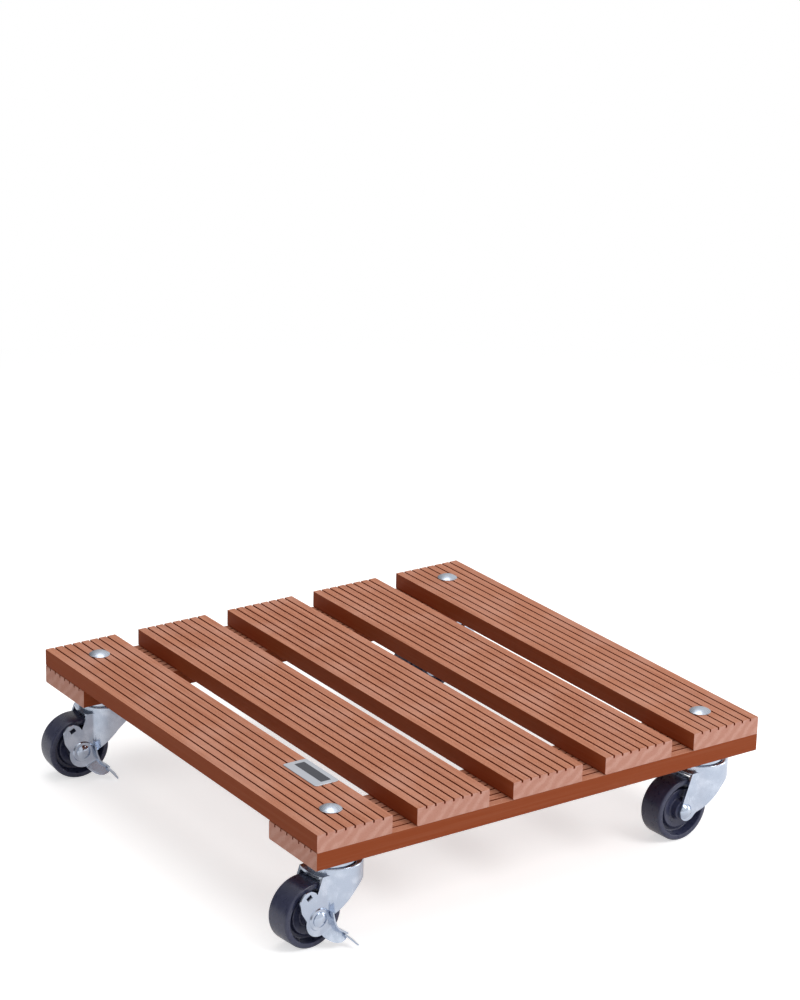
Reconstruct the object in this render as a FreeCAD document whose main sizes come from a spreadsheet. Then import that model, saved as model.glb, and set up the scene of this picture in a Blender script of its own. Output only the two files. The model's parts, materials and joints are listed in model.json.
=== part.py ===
import FreeCAD, Part
import math
import os
import Sketcher

# Plant pot caddy: a square deck of five grooved boards on two crossbars, carried by four
# swivel casters. The two casters under the first slat have a foot brake on the axle.
#
# Frame: millimetres, +Z up, origin on the floor under the middle of the deck. The slats run
# along Y and are counted along +X; the front of the deck is at -Y. Every caster trails
# towards -X. A caster has a frame of its own: origin on its swivel axis at the underside of
# the crossbar, trailing towards its own -X. An axle has a frame too: origin in the middle of
# the wheel, x forward, y up and z along the axle towards the outside of the caddy.

doc = FreeCAD.newDocument("plant_pot_caddy")
sheet = doc.addObject("Spreadsheet::Sheet", "sizes")

SIZES = [
    # deck boards
    ("deck_width", 400.0), ("deck_length", 400.0), ("slat_count", 5), ("slat_width", 63.0),
    ("board_thickness", 14.0), ("board_round", 1.2), ("groove_count", 7),
    ("groove_width", 1.4), ("groove_depth", 2.0),
    # name plate on the first slat, measured from the front edge and the slat's inner edge
    ("plate_width", 20.5), ("plate_length", 45.0), ("plate_thickness", 0.6),
    ("plate_round", 2.0), ("plate_from_front", 68.0), ("plate_inset", 0.3),
    # wood screws from below, two at each crossing
    ("screw_length", 24.0), ("screw_radius", 1.95), ("screw_head_radius", 3.9),
    ("screw_head_height", 2.4), ("screw_tip_height", 4.0), ("screw_spread", 22.0),
    ("screw_clearance", 0.06),
    # carriage bolts and their lock nuts
    ("bolt_radius", 2.95), ("bolt_length", 50.0), ("bolt_head_radius", 8.25),
    ("bolt_head_height", 3.3), ("bolt_head_rim", 0.6), ("bolt_neck_width", 6.0),
    ("bolt_neck_depth", 4.0), ("bolt_tip_chamfer", 0.6), ("bolt_clearance", 0.25),
    ("neck_clearance", 0.1), ("nut_across_flats", 10.0), ("nut_height", 6.0),
    ("nut_collar_radius", 4.4), ("nut_collar_height", 1.4), ("nut_clearance", 0.05),
    # swivel head
    ("caster_height", 70.0), ("cap_radius", 19.5), ("cap_plate", 3.0), ("cap_wall", 1.6),
    ("cap_depth", 8.6), ("kingpin_radius", 5.5), ("kingpin_clearance", 0.08),
    ("ball_radius", 3.2), ("ball_circle_radius", 12.5), ("ball_count", 11),
    ("ball_clearance", 0.2), ("thrust_washer_radius", 12.0), ("thrust_washer_thickness", 2.0),
    ("thrust_clearance", 0.2), ("swivel_bore_radius", 3.1),
    # fork
    ("fork_thickness", 2.0), ("fork_head_radius", 20.7), ("fork_head_shift", 4.3),
    ("fork_head_drop", 9.5), ("fork_shoulder", 2.0), ("fork_brow_drop", 15.5),
    ("fork_brow_bulge", 2.2), ("fork_fillet", 4.0), ("fork_eye_radius", 7.8),
    ("fork_eye_shift", 2.6), ("fork_eye_sink", 0.8), ("fork_front_angle", 20.3),
    ("fork_skirt_angle", 45.5), ("fork_skirt_end", 7.0), ("fork_nose_drop", 24.5),
    ("fork_nose_curve", 22.0),
    # wheel
    ("trail", 22.3), ("wheel_radius", 25.0), ("wheel_width", 21.0), ("tread_round", 1.8),
    ("rim_inner_radius", 20.4), ("groove_inner_radius", 15.6), ("groove_floor", 3.2),
    ("web_face", 6.6), ("web_dish", 5.4), ("hub_radius", 8.0), ("hub_width", 22.2),
    ("hub_clearance", 0.3), ("sleeve_radius", 4.5), ("sleeve_clearance", 0.06),
    # axle
    ("axle_radius", 3.0), ("axle_clearance", 0.05), ("rivet_head_radius", 5.7),
    ("rivet_head_height", 3.2), ("rivet_tail_radius", 4.8), ("rivet_tail_height", 1.8),
    ("brake_head_radius", 5.7), ("brake_head_height", 2.3), ("axle_nut_height", 5.0),
    ("axle_bolt_tip", 1.0),
    # brake lever, in the axle frame
    ("lever_gap", 2.0), ("lever_thickness", 1.2), ("lever_clearance", 0.06),
    ("lobe_x", -8.6), ("lobe_y", 15.6), ("lobe_radius", 8.0), ("lever_body_x", 0.6),
    ("lever_body_y", -1.6), ("lever_body_radius", 11.8), ("slot_x", -8.8), ("slot_y", 18.9),
    ("slot_length", 4.6), ("slot_width", 3.6), ("slot_turn", 30.0), ("boss_radius", 9.3),
    ("boss_top_radius", 7.9), ("boss_height", 1.2), ("cam_radius", 6.8),
    ("cam_thickness", 2.7), ("tray_fold_x", 2.65), ("tray_fold_y", -13.2),
    ("tray_fold_turn", 25.0), ("tray_slope", 30.0), ("flange_width", 6.4),
    ("pedal_x", 19.6), ("pedal_y", -13.0), ("pedal_turn", 41.0), ("pedal_tilt", 9.0),
    ("pedal_length", 9.2), ("pedal_reach", 16.8),
    # how far each caster and brake lever is turned at rest
    ("turn_front_left", 5.6), ("turn_rear_left", -5.2), ("turn_front_right", 3.7),
    ("turn_rear_right", -2.0), ("lever_turn_front_left", 0.0), ("lever_turn_rear_left", -1.0),
]

for row, (alias, size) in enumerate(SIZES, start=1):
    sheet.set("A%d" % row, alias)
    sheet.set("B%d" % row, str(size))
    sheet.setAlias("B%d" % row, alias)
doc.recompute()


def named(expression):
    """The expression with every size's name changed to its cell in the sheet."""
    words = []
    for word in expression.replace("(", "( ").replace(")", " )").split():
        name = word.lstrip("-")
        if hasattr(sheet, name) and name in ALIASES:
            word = word.replace(name, "sizes." + name)
        words.append(word)
    return " ".join(words).replace("( ", "(").replace(" )", ")")


ALIASES = {alias for alias, size in SIZES}


def value(expression):
    """The number that an expression in the sizes comes to."""
    return float(sheet.evalExpression(named(expression)))


def bind(item, **sizes):
    """Binds properties of an object to expressions in the sizes."""
    for prop, expression in sizes.items():
        item.setExpression(prop, named(expression))
    return item


def place(item, x="0", y="0", z="0"):
    """Binds the place of an object to expressions in the sizes."""
    for axis, expression in (("x", x), ("y", y), ("z", z)):
        item.setExpression("Placement.Base." + axis, named(expression))
    return item


# ---- sketches ---------------------------------------------------------------------------

def arc_through(start, end, centre, turn):
    """An arc from start to end about centre: turn is 1 anticlockwise, -1 clockwise."""
    first, last = (start, end) if turn > 0 else (end, start)
    radius = (start - centre).Length
    begin = math.atan2(first.y - centre.y, first.x - centre.x)
    finish = math.atan2(last.y - centre.y, last.x - centre.x)
    circle = Part.Circle(centre, FreeCAD.Vector(0, 0, 1), radius)
    return Part.ArcOfCircle(circle, begin, finish)


def draw(sketch, corners, arcs=None):
    """Draws a closed outline through corners, each a pair of expressions in the sizes.

    arcs maps the number of an edge to (centre x, centre y, radius, turn); the other edges
    are straight. Every corner and radius stays bound to the sheet.
    """
    arcs = arcs or {}
    points = [FreeCAD.Vector(value(x), value(y), 0) for x, y in corners]
    ends = []
    for number, start in enumerate(points):
        end = points[(number + 1) % len(points)]
        if number in arcs:
            centre_x, centre_y, radius, turn = arcs[number]
            centre = FreeCAD.Vector(value(centre_x), value(centre_y), 0)
            edge = sketch.addGeometry(arc_through(start, end, centre, turn))
            ends.append((edge, 1, 2) if turn > 0 else (edge, 2, 1))
        else:
            edge = sketch.addGeometry(Part.LineSegment(start, end))
            ends.append((edge, 1, 2))
    for number, (edge, begin, finish) in enumerate(ends):
        following = ends[(number + 1) % len(ends)]
        joint = Sketcher.Constraint("Coincident", edge, finish, following[0], following[1])
        sketch.addConstraint(joint)
    for number, (x, y) in enumerate(corners):
        edge, begin, finish = ends[number]
        measure(sketch, "DistanceX", (-1, 1, edge, begin), x)
        measure(sketch, "DistanceY", (-1, 1, edge, begin), y)
    for number, (centre_x, centre_y, radius, turn) in arcs.items():
        measure(sketch, "Radius", (ends[number][0],), radius)
    return sketch


def measure(sketch, kind, ends, expression):
    """Adds one dimension to a sketch and binds it to an expression in the sizes."""
    index = sketch.addConstraint(Sketcher.Constraint(kind, *ends, value(expression)))
    sketch.setExpression("Constraints[%d]" % index, named(expression))


def draw_circles(sketch, circles):
    """Draws circles, each (x, y, radius) in expressions in the sizes."""
    for x, y, radius in circles:
        centre = FreeCAD.Vector(value(x), value(y), 0)
        circle = Part.Circle(centre, FreeCAD.Vector(0, 0, 1), value(radius))
        edge = sketch.addGeometry(circle)
        measure(sketch, "DistanceX", (-1, 1, edge, 3), x)
        measure(sketch, "DistanceY", (-1, 1, edge, 3), y)
        measure(sketch, "Radius", (edge,), radius)
    return sketch


def flat_sketch(name, corners, arcs=None, upright=False):
    """A sketch of its own, on the XY plane or upright on the XZ plane."""
    sketch = doc.addObject("Sketcher::SketchObject", name)
    if upright:
        turned = FreeCAD.Rotation(FreeCAD.Vector(1, 0, 0), 90)
        sketch.Placement = FreeCAD.Placement(FreeCAD.Vector(), turned)
    return draw(sketch, corners, arcs)


def body_sketch(body, name, plane):
    """An empty sketch on one of a body's own origin planes."""
    sketch = body.newObject("Sketcher::SketchObject", name)
    support = [item for item in body.Origin.OriginFeatures if item.Role == plane][0]
    sketch.AttachmentSupport = [(support, "")]
    sketch.MapMode = "FlatFace"
    return sketch


# ---- solids -----------------------------------------------------------------------------

def extrude(name, sketch, length, both_ways=False):
    """A sketch pushed along its normal, or half each way."""
    solid = doc.addObject("Part::Extrusion", name)
    solid.Base = sketch
    solid.DirMode = "Normal"
    solid.Solid = True
    solid.Symmetric = both_ways
    return bind(solid, LengthFwd=length)


def revolve(name, corners, arcs=None):
    """A half profile, drawn as (radius, height), turned about the Z axis."""
    solid = doc.addObject("Part::Revolution", name)
    solid.Source = flat_sketch(name + "_profile", corners, arcs, upright=True)
    solid.Axis = FreeCAD.Vector(0, 0, 1)
    solid.Angle = 360
    solid.Solid = True
    return solid


def cylinder(name, radius, height, x="0", y="0", z="0"):
    """A cylinder standing on the point x, y, z."""
    solid = doc.addObject("Part::Cylinder", name)
    bind(solid, Radius=radius, Height=height)
    return place(solid, x, y, z)


def cone(name, low_radius, high_radius, height, x="0", y="0", z="0"):
    """A cone standing on the point x, y, z."""
    solid = doc.addObject("Part::Cone", name)
    bind(solid, Radius1=low_radius, Radius2=high_radius, Height=height)
    return place(solid, x, y, z)


def box(name, length, width, height, x="0", y="0", z="0"):
    """A box whose lowest corner is at x, y, z."""
    solid = doc.addObject("Part::Box", name)
    bind(solid, Length=length, Width=width, Height=height)
    return place(solid, x, y, z)


def fuse(name, *solids):
    """Several solids joined into one piece."""
    solid = doc.addObject("Part::MultiFuse", name)
    solid.Shapes = list(solids)
    solid.Refine = True
    return solid


def common(name, *solids):
    """What several solids share."""
    solid = doc.addObject("Part::MultiCommon", name)
    solid.Shapes = list(solids)
    return solid


def cut(name, base, *tools):
    """A solid with others cut out of it, one after the other."""
    for number, tool in enumerate(tools, start=1):
        solid = doc.addObject("Part::Cut", name if number == len(tools) else name + "_cut")
        solid.Base = base
        solid.Tool = tool
        base = solid
    return base


def group(name, solids):
    """Separate solids kept together as one sub-part."""
    together = doc.addObject("Part::Compound", name)
    together.Links = list(solids)
    return together


# ---- sub-parts --------------------------------------------------------------------------

SUBPARTS = []


def finish(item, name, placement=None):
    """Names a sub-part, puts it in its place and keeps it for writing."""
    item.Label = name
    if placement:
        item.setExpression("Placement", named(placement))
    SUBPARTS.append(item)
    return item


def frame(x="0", y="0", z="0", turn="0", axis="0; 0; 1"):
    """The expression of a placement at x, y, z, turned about an axis."""
    words = "placement( vector( %s ; %s ; %s ) ; rotation( vector( %s ) ; %s ) )"
    return words % (x, y, z, axis, turn)


# ---- deck -------------------------------------------------------------------------------

DECK_UNDERSIDE = "( caster_height + board_thickness )"
SLAT_PITCH = "( ( deck_width - slat_width ) / ( slat_count - 1 ) )"
GROOVE_PITCH = "( slat_width / ( groove_count + 1 ) )"
BAR_PLACE = "( ( deck_length - slat_width ) / 2 )"
BOLT_PLACE = "( ( deck_width - slat_width ) / 2 )"
BOLT_HOLE = "bolt_radius + bolt_clearance"
SLAT_COUNT = int(value("slat_count"))


def pocket(body, name, sketch, depth=None, upward=False):
    """Cuts a sketch out of a body, right through or to a depth."""
    hole = body.newObject("PartDesign::Pocket", name)
    hole.Profile = sketch
    if depth:
        hole.Reversed = upward
        bind(hole, Length=depth)
    else:
        hole.Type = "ThroughAll"
        hole.SideType = "Symmetric"
    doc.recompute()
    return hole


def board(name, length):
    """A grooved board along Y, standing on the XY plane, with its grooves on top."""
    body = doc.addObject("PartDesign::Body", name)
    side, low, top = "( slat_width / 2 )", "board_round", "board_thickness"
    turn = "( slat_width / 2 - board_round )"
    section = body_sketch(body, name + "_section", "XZ_Plane")
    corners = [("-" + turn, "0"), (turn, "0"), (side, low), (side, top),
               ("-" + side, top), ("-" + side, low)]
    arcs = {1: (turn, low, "board_round", 1), 5: ("-" + turn, low, "board_round", 1)}
    draw(section, corners, arcs)
    pad = body.newObject("PartDesign::Pad", name + "_pad")
    pad.Profile = section
    pad.SideType = "Symmetric"
    bind(pad, Length=length)
    doc.recompute()

    first = "( %s - slat_width / 2 )" % GROOVE_PITCH
    half, floor = "groove_width / 2", "board_thickness - groove_depth"
    groove = body_sketch(body, name + "_groove_section", "XZ_Plane")
    draw(groove, [(first + " - " + half, floor), (first + " + " + half, floor),
                  (first + " + " + half, "board_thickness + 1"),
                  (first + " - " + half, "board_thickness + 1")])
    first_groove = pocket(body, name + "_groove", groove)
    row = body.newObject("PartDesign::LinearPattern", name + "_grooves")
    row.Originals = [first_groove]
    across = [item for item in body.Origin.OriginFeatures if item.Role == "X_Axis"][0]
    row.Direction = (across, [""])
    bind(row, Length="%s * ( groove_count - 1 )" % GROOVE_PITCH, Occurrences="groove_count")
    body.Tip = row
    doc.recompute()
    return body


def drill(body, name, circles, depth=None, upward=False):
    """Drills round holes in a board, right through or upward from its underside."""
    sketch = body_sketch(body, name + "_circles", "XY_Plane")
    draw_circles(sketch, circles)
    pocket(body, name, sketch, depth, upward)


def screw_places(outer, inward):
    """Places of the two screws of a crossing: across the slat, or beside a bolt."""
    shift = "%s * screw_spread" % inward if outer else "0"
    return [(shift, "-1 * screw_spread"), (shift, "screw_spread")]


def make_slat(number):
    """A deck slat, with pilot holes, and bolt holes where it lies over the casters."""
    name = "slat_%d" % (number + 1)
    body = board(name, "deck_length")
    outer = number in (0, SLAT_COUNT - 1)
    inward = 1 if number == 0 else -1
    pilots = []
    for bar in (-1, 1):
        for across, along in screw_places(outer, inward):
            pilots.append((across, "%d * %s + %s" % (bar, BAR_PLACE, along),
                           "screw_radius + screw_clearance"))
    drill(body, name + "_pilots", pilots, "screw_length - board_thickness + 0.4", upward=True)
    if outer:
        drill(body, name + "_bolt_holes",
              [("0", "%d * %s" % (bar, BAR_PLACE), BOLT_HOLE) for bar in (-1, 1)])
        for bar, end in ((-1, "front"), (1, "rear")):
            cut_neck_seat(body, "%s_%s_neck" % (name, end), "%d * %s" % (bar, BAR_PLACE))
    finish(body, name, frame(x="%d * %s - %s" % (number, SLAT_PITCH, BOLT_PLACE),
                             z=DECK_UNDERSIDE))


def cut_neck_seat(body, name, along):
    """The square seat for a carriage bolt's neck, in the top of a slat."""
    sketch = body_sketch(body, name + "_square", "XY_Plane")
    sketch.setExpression("AttachmentOffset.Base.z", named("board_thickness"))
    half = "( bolt_neck_width / 2 + neck_clearance )"
    draw(sketch, [("-" + half, along + " - " + half), (half, along + " - " + half),
                  (half, along + " + " + half), ("-" + half, along + " + " + half)])
    pocket(body, name, sketch, "bolt_neck_depth + neck_clearance")


def make_crossbar(name, side):
    """A crossbar under the slats, with screw holes and the casters' bolt holes."""
    body = board(name, "deck_width")
    holes = [("0", "%d * %s" % (end, BOLT_PLACE), BOLT_HOLE) for end in (-1, 1)]
    for x, y in crossing_screws(side):
        holes.append((y, "-1 * ( %s )" % x, "screw_radius + screw_clearance"))
    drill(body, name + "_holes", holes)
    heads = [(x, y, "screw_head_radius + screw_clearance") for x, y, radius in holes[2:]]
    drill(body, name + "_head_seats", heads, "screw_head_height", upward=True)
    finish(body, name, frame(y="%d * %s" % (side, BAR_PLACE), z="caster_height", turn="90"))


def crossing_screws(side):
    """Deck x, and y from the crossbar's middle, of every screw in one crossbar."""
    places = []
    for number in range(SLAT_COUNT):
        outer = number in (0, SLAT_COUNT - 1)
        inward = 1 if number == 0 else -1
        for across, along in screw_places(outer, inward):
            places.append(("%d * %s - %s + %s" % (number, SLAT_PITCH, BOLT_PLACE, across), along))
    return places


def make_screws(name, side):
    """The countersunk wood screws of one crossbar, heads flush with its underside."""
    screws = []
    for number, (x, y) in enumerate(crossing_screws(side), start=1):
        screw = revolve("%s_%d" % (name, number), [
            ("0", "0"), ("screw_head_radius", "0"), ("screw_head_radius", "0.3"),
            ("screw_radius", "screw_head_height"),
            ("screw_radius", "screw_length - screw_tip_height"), ("0.2", "screw_length"),
            ("0", "screw_length")])
        screws.append(place(screw, x, "%d * %s + %s" % (side, BAR_PLACE, y), "caster_height"))
    finish(group(name, screws), name)


def make_name_plate():
    """The thin bare metal plate on the first slat."""
    half_x, half_y = "( plate_width / 2 )", "( plate_length / 2 )"
    in_x, in_y = "( plate_width / 2 - plate_round )", "( plate_length / 2 - plate_round )"
    corners = [("-" + in_x, "-" + half_y), (in_x, "-" + half_y), (half_x, "-" + in_y),
               (half_x, in_y), (in_x, half_y), ("-" + in_x, half_y), ("-" + half_x, in_y),
               ("-" + half_x, "-" + in_y)]
    arcs = {1: (in_x, "-" + in_y, "plate_round", 1), 3: (in_x, in_y, "plate_round", 1),
            5: ("-" + in_x, in_y, "plate_round", 1),
            7: ("-" + in_x, "-" + in_y, "plate_round", 1)}
    plate = extrude("name_plate", flat_sketch("name_plate_outline", corners, arcs),
                    "plate_thickness")
    finish(plate, "name_plate", frame(
        x="slat_width - deck_width / 2 - plate_inset - plate_width / 2",
        y="plate_from_front + plate_length / 2 - deck_length / 2",
        z=DECK_UNDERSIDE + " + board_thickness"))


# ---- casters ----------------------------------------------------------------------------

CASTERS = {"front_left": (-1, -1), "rear_left": (-1, 1),
           "front_right": (1, -1), "rear_right": (1, 1)}
BRAKED = ("front_left", "rear_left")
AXLE_DROP = "( caster_height - wheel_radius )"
LEG_INSIDE = "( hub_width / 2 + hub_clearance )"
LEG_OUTSIDE = "( hub_width / 2 + hub_clearance + fork_thickness )"
LEVER_INSIDE = "( hub_width / 2 + hub_clearance + fork_thickness + lever_gap )"
BOSS_TOP = "( %s + lever_thickness + boss_height )" % LEVER_INSIDE
THRUST_DROP = "( fork_head_drop + fork_thickness + thrust_clearance )"
NUT_DROP = "( %s + thrust_washer_thickness )" % THRUST_DROP


def caster_frame(corner, turned=True):
    """The placement of a caster's frame: its own turn counts for what swivels."""
    x_side, y_side = CASTERS[corner]
    return frame("%d * %s" % (x_side, BOLT_PLACE), "%d * %s" % (y_side, BAR_PLACE),
                 "caster_height", "turn_" + corner if turned else "0")


def axle_frame(corner):
    """The placement of an axle's frame, whose z axis points to the outside of the caddy."""
    upright = frame("-1 * trail", "0", "-1 * " + AXLE_DROP, "90", "1; 0; 0")
    return caster_frame(corner) + " * " + upright


def dome(name, radius, height, rim, z, shank_radius, shank_length, tip="0.3"):
    """A domed head on the plane z with a shank below it, as one turned piece."""
    rise = "( %s - %s )" % (height, rim)
    ball = "( ( %s * %s + %s * %s ) / ( 2 * %s ) )" % (radius, radius, rise, rise, rise)
    corners = [("0", z + " + " + height), ("0", z + " - " + shank_length),
               (shank_radius + " - " + tip, z + " - " + shank_length),
               (shank_radius, z + " - " + shank_length + " + " + tip), (shank_radius, z),
               (radius, z), (radius, z + " + " + rim)]
    arcs = {6: ("0", z + " + " + height + " - " + ball, ball, 1)}
    return revolve(name, corners, arcs)


def make_bolt(corner):
    """The carriage bolt that holds a caster: mushroom head, square neck and shank."""
    name = "caster_bolt_" + corner
    turned = dome(name + "_turned", "bolt_head_radius", "bolt_head_height", "bolt_head_rim",
                  "0", "bolt_radius", "bolt_length", "bolt_tip_chamfer")
    half = "-1 * bolt_neck_width / 2"
    neck = box(name + "_neck", "bolt_neck_width", "bolt_neck_width", "bolt_neck_depth",
               half, half, "-1 * bolt_neck_depth")
    up = frame(z="2 * board_thickness")
    finish(fuse(name, turned, neck), name, caster_frame(corner, False) + " * " + up)


def make_cap(corner):
    """The fixed cap: upper ball race and kingpin, held against the crossbar by the bolt."""
    name = "swivel_cap_" + corner
    inner = "cap_radius - cap_wall"
    cap = revolve(name + "_turned", [
        ("swivel_bore_radius", "0"), ("swivel_bore_radius", "-1 * " + THRUST_DROP),
        ("kingpin_radius", "-1 * " + THRUST_DROP), ("kingpin_radius", "-1 * cap_plate"),
        (inner, "-1 * cap_plate"), (inner, "-1 * cap_depth"), ("cap_radius", "-1 * cap_depth"),
        ("cap_radius", "0")])
    finish(cut(name, cap, ball_track(name + "_track")), name, caster_frame(corner, False))


def ball_height():
    """The height of the balls' middle, halfway between the cap and the fork."""
    return "( -1 * ( cap_plate + fork_head_drop ) / 2 )"


def ball_track(name):
    """The ring that the balls run in, with their clearance."""
    ring = doc.addObject("Part::Torus", name)
    bind(ring, Radius1="ball_circle_radius", Radius2="ball_radius + ball_clearance")
    return place(ring, z=ball_height())


def make_balls(corner):
    """The ring of steel balls between the cap and the fork."""
    name = "swivel_balls_" + corner
    balls = []
    for number in range(int(value("ball_count"))):
        angle = "( %d * 360 / ball_count )" % number
        ball = doc.addObject("Part::Sphere", "%s_%d" % (name, number + 1))
        bind(ball, Radius="ball_radius")
        balls.append(place(ball, "ball_circle_radius * cos( %s )" % angle,
                           "ball_circle_radius * sin( %s )" % angle, ball_height()))
    finish(group(name, balls), name, caster_frame(corner))


def fork_plan(name, thinner):
    """The fork seen from above: two legs that open into the round head.

    thinner is what the outline is set in by: 0 for the outside, the sheet's thickness for
    the inside.
    """
    half = "( %s - %s )" % (LEG_OUTSIDE, thinner)
    head = "( fork_head_radius - %s )" % thinner
    round_off = "( fork_fillet + %s )" % thinner
    reach = "( %s + %s )" % (head, round_off)
    level = "( %s + %s )" % (half, round_off)
    away = "sqrt( %s * %s - %s * %s )" % (reach, reach, level, level)
    start = "( fork_head_shift - %s )" % away
    touch_x = "( fork_head_shift - %s * %s / %s )" % (away, head, reach)
    touch_y = "( %s * %s / %s )" % (level, head, reach)
    end = "( -1 * trail - 2 * fork_eye_radius )"
    corners = [(end, "-1 * " + half), (start, "-1 * " + half), (touch_x, "-1 * " + touch_y),
               (touch_x, touch_y), (start, half), (end, half)]
    arcs = {1: (start, "-1 * " + level, round_off, -1), 2: ("fork_head_shift", "0", head, 1),
            3: (start, level, round_off, -1)}
    return flat_sketch(name, corners, arcs)


def fork_side(name):
    """The fork seen from the side: slanted front edge, axle eye, rising skirt and nose."""
    eye_x = "( fork_eye_shift - trail )"
    eye_y = "( -1 * %s - fork_eye_sink )" % AXLE_DROP
    front_x = "( %s - fork_eye_radius * cos( fork_front_angle ) )" % eye_x
    front_y = "( %s + fork_eye_radius * sin( fork_front_angle ) )" % eye_y
    skirt_x = "( %s + fork_eye_radius * sin( fork_skirt_angle ) )" % eye_x
    skirt_y = "( %s - fork_eye_radius * cos( fork_skirt_angle ) )" % eye_y
    brow_x = "( %s - ( fork_brow_drop + %s ) * tan( fork_front_angle ) )" % (front_x, front_y)
    rise_y = "( %s + ( fork_skirt_end - %s ) * tan( fork_skirt_angle ) )" % (skirt_y, skirt_x)
    nose_x = "( fork_head_shift + fork_head_radius + 1 )"
    half_run = "( ( %s - fork_skirt_end ) / 2 )" % nose_x
    half_rise = "( ( -1 * fork_nose_drop - %s ) / 2 )" % rise_y
    half_chord = "sqrt( %s * %s + %s * %s )" % (half_run, half_run, half_rise, half_rise)
    depth = "sqrt( fork_nose_curve * fork_nose_curve - %s * %s )" % (half_chord, half_chord)
    curve_x = "( fork_skirt_end + %s + %s * %s / %s )" % (half_run, half_rise, depth, half_chord)
    curve_y = "( %s + %s - %s * %s / %s )" % (rise_y, half_rise, half_run, depth, half_chord)
    corners = [(brow_x, "0"), (brow_x, "-1 * fork_brow_drop"), (front_x, front_y),
               (skirt_x, skirt_y), ("fork_skirt_end", rise_y), (nose_x, "-1 * fork_nose_drop"),
               (nose_x, "0")]
    arcs = {2: (eye_x, eye_y, "fork_eye_radius", 1),
            4: (curve_x, curve_y, "fork_nose_curve", -1)}
    return flat_sketch(name, corners, arcs, upright=True), brow_x


def make_fork(corner):
    """The pressed fork: a round head and a brow that carry two legs with axle eyes."""
    name = "fork_" + corner
    side, brow_x = fork_side(name + "_side")
    span = extrude(name + "_span", side, "3 * fork_head_radius", both_ways=True)
    down = "-1 * ( caster_height )"
    legs = extrude(name + "_legs", fork_plan(name + "_plan", "0"), "caster_height")
    place(legs, z=down + " - fork_brow_drop")
    head = fork_head(name + "_head", "fork_head_radius", "fork_shoulder", "fork_head_drop")
    outside = common(name + "_outside", fuse(name + "_form", legs, head), span)

    hollow_legs = extrude(name + "_hollow_legs", fork_plan(name + "_hollow_plan",
                                                           "fork_thickness"), "caster_height")
    place(hollow_legs, z=down + " - fork_brow_drop - fork_thickness")
    hollow_head = fork_head(name + "_hollow_head", "( fork_head_radius - fork_thickness )",
                            "0.5", "( fork_head_drop + fork_thickness )")
    shell = cut(name + "_shell", outside, fuse(name + "_hollow", hollow_legs, hollow_head))

    half = LEG_OUTSIDE
    bulge = "fork_brow_bulge"
    curve = "( ( %s * %s + %s * %s ) / ( 2 * %s ) )" % (half, half, bulge, bulge, bulge)
    edge = flat_sketch(name + "_brow_edge", [
        (brow_x + " + 1", "-1 * " + half), (brow_x + " + 1", half), (brow_x, half),
        (brow_x, "-1 * " + half)], {2: (brow_x + " - fork_brow_bulge + " + curve, "0", curve, 1)})
    brow = extrude(name + "_brow", edge, "fork_thickness")
    place(brow, z="-1 * ( fork_brow_drop + fork_thickness )")

    kingpin = cylinder(name + "_kingpin_hole", "kingpin_radius + kingpin_clearance",
                       "caster_height", z=down)
    axle = cylinder(name + "_axle_hole", "axle_radius + axle_clearance",
                    "4 * fork_head_radius")
    axle.setExpression("Placement", named(frame(
        "-1 * trail", "2 * fork_head_radius", "-1 * " + AXLE_DROP, "90", "1; 0; 0")))
    fork = cut(name, fuse(name + "_pressing", shell, brow), kingpin,
               ball_track(name + "_track"), axle)
    finish(fork, name, caster_frame(corner))


def fork_head(name, radius, shoulder, drop):
    """The round head of the fork, from its rounded top edge down to below the brow."""
    foot = "-1 * ( fork_brow_drop + 2 * fork_thickness )"
    head = revolve(name, [
        ("0", foot), (radius, foot), (radius, "-1 * %s - %s" % (drop, shoulder)),
        (radius + " - " + shoulder, "-1 * " + drop), ("0", "-1 * " + drop)],
        {2: (radius + " - " + shoulder, "-1 * %s - %s" % (drop, shoulder), shoulder, 1)})
    return place(head, x="fork_head_shift")


def make_thrust_washer(corner):
    """The washer on the kingpin's end that carries the fork when the caddy is lifted."""
    name = "thrust_washer_" + corner
    low, high = "-1 * " + NUT_DROP, "-1 * " + THRUST_DROP
    washer = revolve(name, [
        ("swivel_bore_radius", low), ("thrust_washer_radius - 1", low),
        ("thrust_washer_radius", low + " + 1"), ("thrust_washer_radius", high),
        ("swivel_bore_radius", high)])
    finish(washer, name, caster_frame(corner, False))


def lock_nut(name, height, z, downward):
    """A hexagon lock nut with a round collar on its far side, bored for the bolt."""
    across = doc.addObject("Part::Prism", name + "_hexagon")
    across.Polygon = 6
    bind(across, Circumradius="nut_across_flats / sqrt( 3 )",
         Height="%s - nut_collar_height" % height)
    collar = cylinder(name + "_collar", "nut_collar_radius", height)
    bore = cylinder(name + "_bore", "bolt_radius + nut_clearance", "3 * " + height,
                    z="-1 * " + height)
    bound = cone(name + "_bound", "nut_across_flats * 0.62", "nut_across_flats * 0.5",
                 height)
    form = common(name + "_form", fuse(name + "_blank", across, collar), bound)
    nut = cut(name + "_nut", form, bore)
    flip = frame(z=z, turn="180" if downward else "0", axis="1; 0; 0")
    nut.setExpression("Placement", named(flip))
    return nut


def make_caster_nut(corner):
    """The lock nut that clamps the cap, kingpin and thrust washer on the caster's bolt."""
    name = "caster_nut_" + corner
    nut = lock_nut(name, "nut_height", "-1 * " + NUT_DROP, True)
    finish(group(name, [nut]), name, caster_frame(corner, False))


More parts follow.
